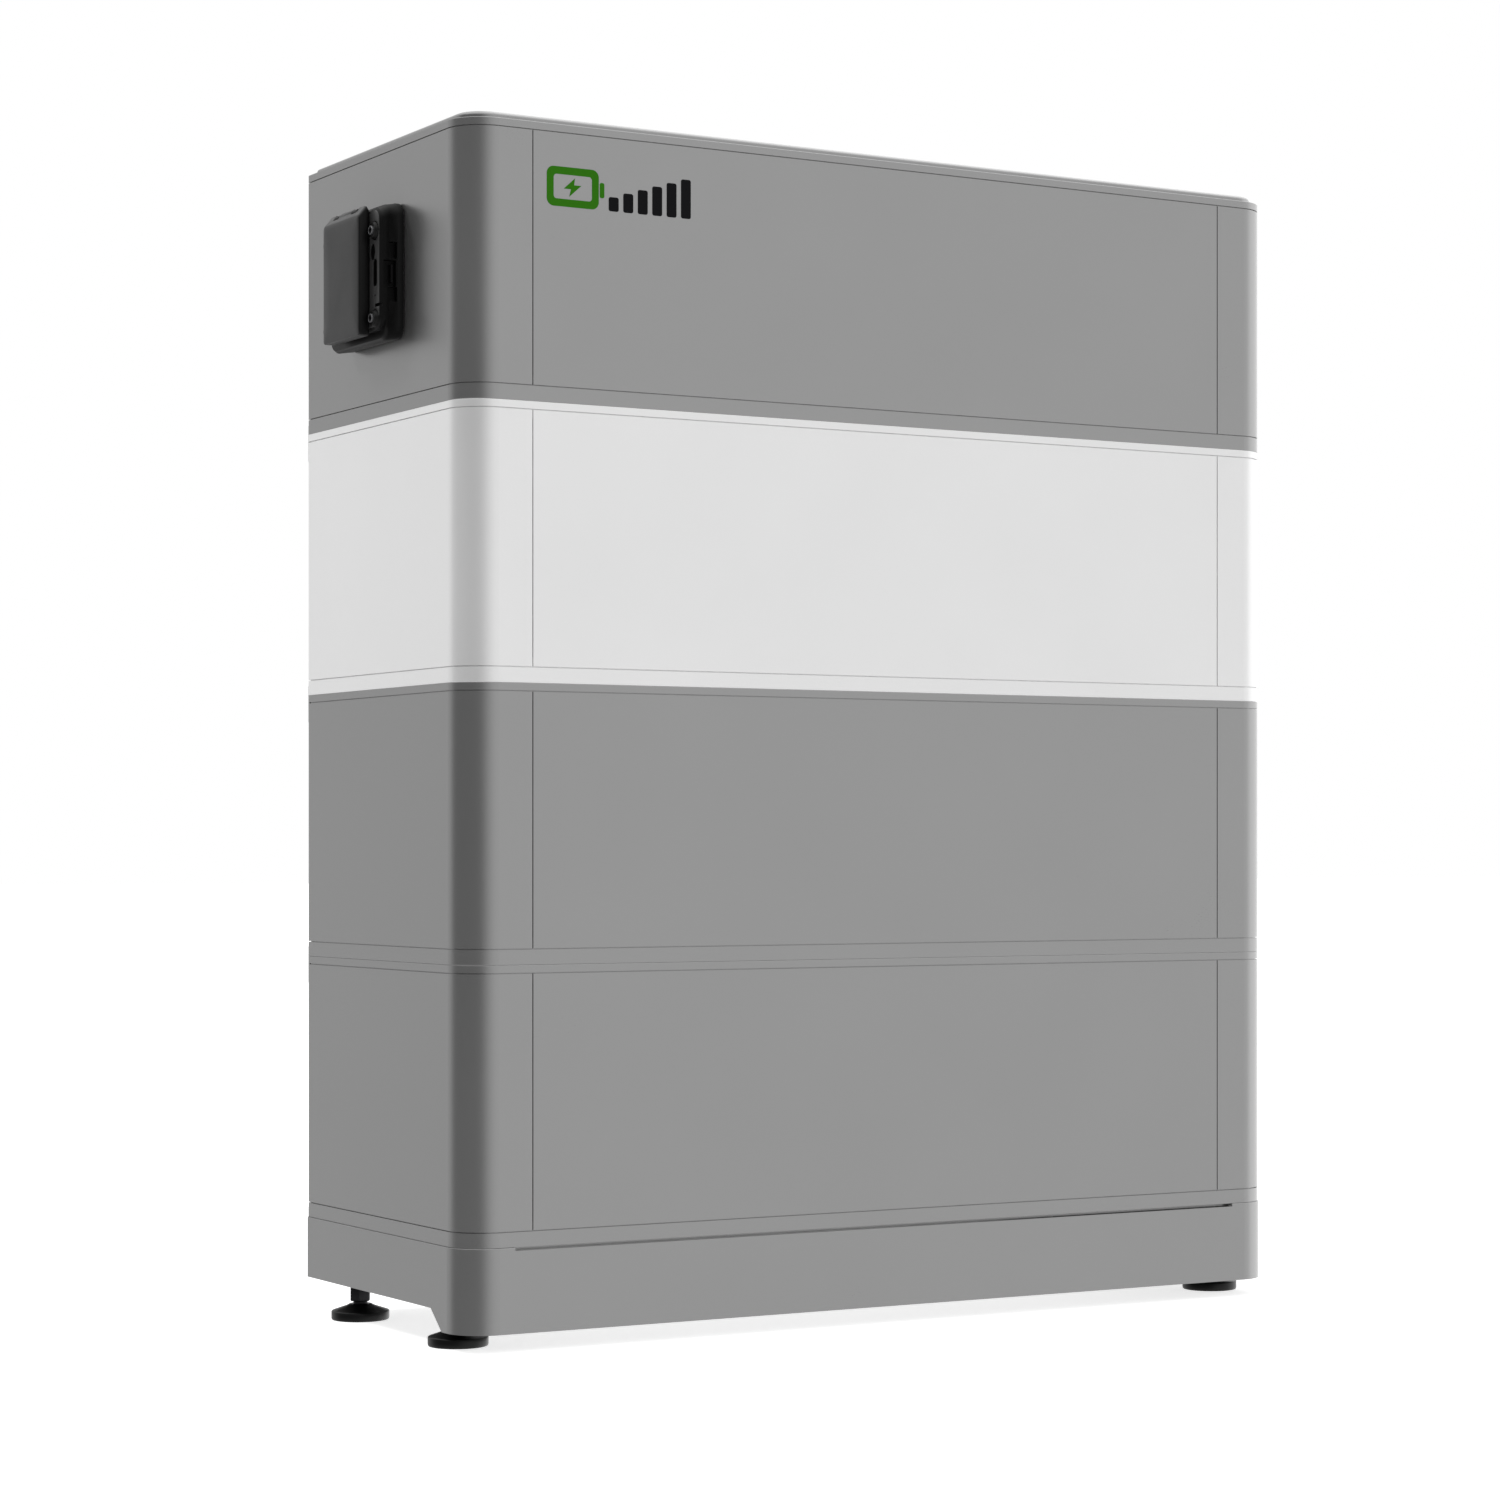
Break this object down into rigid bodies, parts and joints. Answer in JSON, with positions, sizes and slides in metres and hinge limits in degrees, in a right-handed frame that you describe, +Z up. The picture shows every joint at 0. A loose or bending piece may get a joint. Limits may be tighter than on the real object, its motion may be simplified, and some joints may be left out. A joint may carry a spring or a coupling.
{
  "type": "stacked home battery storage unit",
  "caption": "Floor-standing home battery stack: grey sheet-metal battery modules under a control unit with a breaker flap on its side, on a plinth with levelling feet.",
  "frame": {"origin": "on the floor, at the centre of the footprint", "axes": "+Z up; the front faces -Y; the breaker flap is on the -X side and the cable side is +X"},
  "size_m": [0.704, 0.2648, 0.8046],
  "materials": {
    "grey_paint": "satin",
    "light_paint": "satin",
    "black_steel": "matte",
    "steel": "satin",
    "dark_steel": "satin",
    "cell_aluminium": "satin",
    "plate_aluminium": "matte",
    "black_plastic": "matte",
    "foot_plastic": "semi-gloss",
    "grey_plastic": "matte",
    "circuit_board": "satin",
    "seal_rubber": "matte"
  },
  "bodies": {
    "stack": {"base_plinth": "grey_paint", "base_rails": "black_steel", "module_1_bottom_tray": "grey_paint", "module_1_top_cover": "grey_paint", "module_1_left_end": "grey_paint", "module_1_right_end": "grey_paint", "module_1_front_panel": "grey_paint", "module_1_rear_panel": "grey_paint", "module_1_cells": "cell_aluminium", "module_2_bottom_tray": "grey_paint", "module_2_top_cover": "grey_paint", "module_2_left_end": "grey_paint", "module_2_right_end": "grey_paint", "module_2_front_panel": "grey_paint", "module_2_rear_panel": "grey_paint", "module_2_cells": "cell_aluminium", "module_3_bottom_tray": "light_paint", "module_3_top_cover": "light_paint", "module_3_left_end": "light_paint", "module_3_right_end": "light_paint", "module_3_front_panel": "light_paint", "module_3_rear_panel": "light_paint", "module_3_cells": "cell_aluminium", "cell_clamps": "plate_aluminium", "cell_busbars": "plate_aluminium", "module_boards": "circuit_board", "stack_plugs": "black_plastic", "stack_sockets": "black_plastic", "locating_pins": "steel", "rear_link_plates": "grey_paint", "link_plate_screws": "steel", "control_bottom_tray": "grey_paint", "control_left_end": "grey_paint", "control_right_end": "grey_paint", "control_front_panel": "grey_paint", "control_rear_panel": "grey_paint", "control_heat_sink": "cell_aluminium", "control_lid": "grey_paint", "control_power_board": "circuit_board", "control_power_parts": "black_plastic", "breaker_gasket": "seal_rubber", "breaker_frame": "black_plastic", "breaker_hinge_pin": "steel", "breaker_frame_bolts": "dark_steel", "breaker_body": "grey_plastic", "dc_receptacles": "black_plastic", "comms_gland": "black_plastic", "earth_stud": "steel", "button_bezel": "steel"},
    "front_left_pad": {"front_left_foot_pad": "foot_plastic"},
    "front_left_stem": {"front_left_foot_stem": "dark_steel"},
    "front_right_pad": {"front_right_foot_pad": "foot_plastic"},
    "front_right_stem": {"front_right_foot_stem": "dark_steel"},
    "rear_left_pad": {"rear_left_foot_pad": "foot_plastic"},
    "rear_left_stem": {"rear_left_foot_stem": "dark_steel"},
    "rear_right_pad": {"rear_right_foot_pad": "foot_plastic"},
    "rear_right_stem": {"rear_right_foot_stem": "dark_steel"},
    "flap": {"breaker_cover": "black_plastic"},
    "toggle": {"breaker_toggle": "black_plastic"},
    "button": {"start_button": "black_plastic"}
  },
  "joints": [
    {"name": "front_left_foot_height", "type": "slide", "parent": "stack", "child": "front_left_pad", "axis": [0, 0, 1], "range_m": [-0.012, 0]},
    {"name": "front_left_foot_turn", "type": "hinge", "parent": "front_left_pad", "child": "front_left_stem", "pos_m": [-0.306, -0.08, 0.02], "axis": [0, 0, 1], "range_deg": [-3456, 0]},
    {"name": "front_right_foot_height", "type": "slide", "parent": "stack", "child": "front_right_pad", "axis": [0, 0, 1], "range_m": [-0.012, 0]},
    {"name": "front_right_foot_turn", "type": "hinge", "parent": "front_right_pad", "child": "front_right_stem", "pos_m": [0.306, -0.08, 0.02], "axis": [0, 0, 1], "range_deg": [-3456, 0]},
    {"name": "rear_left_foot_height", "type": "slide", "parent": "stack", "child": "rear_left_pad", "axis": [0, 0, 1], "range_m": [-0.012, 0]},
    {"name": "rear_left_foot_turn", "type": "hinge", "parent": "rear_left_pad", "child": "rear_left_stem", "pos_m": [-0.306, 0.08, 0.02], "axis": [0, 0, 1], "range_deg": [-3456, 0]},
    {"name": "rear_right_foot_height", "type": "slide", "parent": "stack", "child": "rear_right_pad", "axis": [0, 0, 1], "range_m": [-0.012, 0]},
    {"name": "rear_right_foot_turn", "type": "hinge", "parent": "rear_right_pad", "child": "rear_right_stem", "pos_m": [0.306, 0.08, 0.02], "axis": [0, 0, 1], "range_deg": [-3456, 0]},
    {"name": "flap_hinge", "type": "hinge", "parent": "stack", "child": "flap", "pos_m": [-0.3462, 0.008, 0.7521], "axis": [0, 1, 0], "range_deg": [0, 110]},
    {"name": "toggle_tilt", "type": "hinge", "parent": "stack", "child": "toggle", "pos_m": [-0.327, 0.008, 0.7111], "axis": [0, 1, 0], "range_deg": [-50, 0]},
    {"name": "button_press", "type": "slide", "parent": "stack", "child": "button", "axis": [-1, 0, 0], "range_m": [0, 0.002], "stiffness_N_per_m": 700, "springref_m": -0.0015}
  ],
  "couplings": [
    {"joint": "front_left_foot_turn", "follows": "front_left_foot_height", "rad_per_m": 5026.5},
    {"joint": "front_right_foot_turn", "follows": "front_right_foot_height", "rad_per_m": 5026.5},
    {"joint": "rear_left_foot_turn", "follows": "rear_left_foot_height", "rad_per_m": 5026.5},
    {"joint": "rear_right_foot_turn", "follows": "rear_right_foot_height", "rad_per_m": 5026.5}
  ]
}
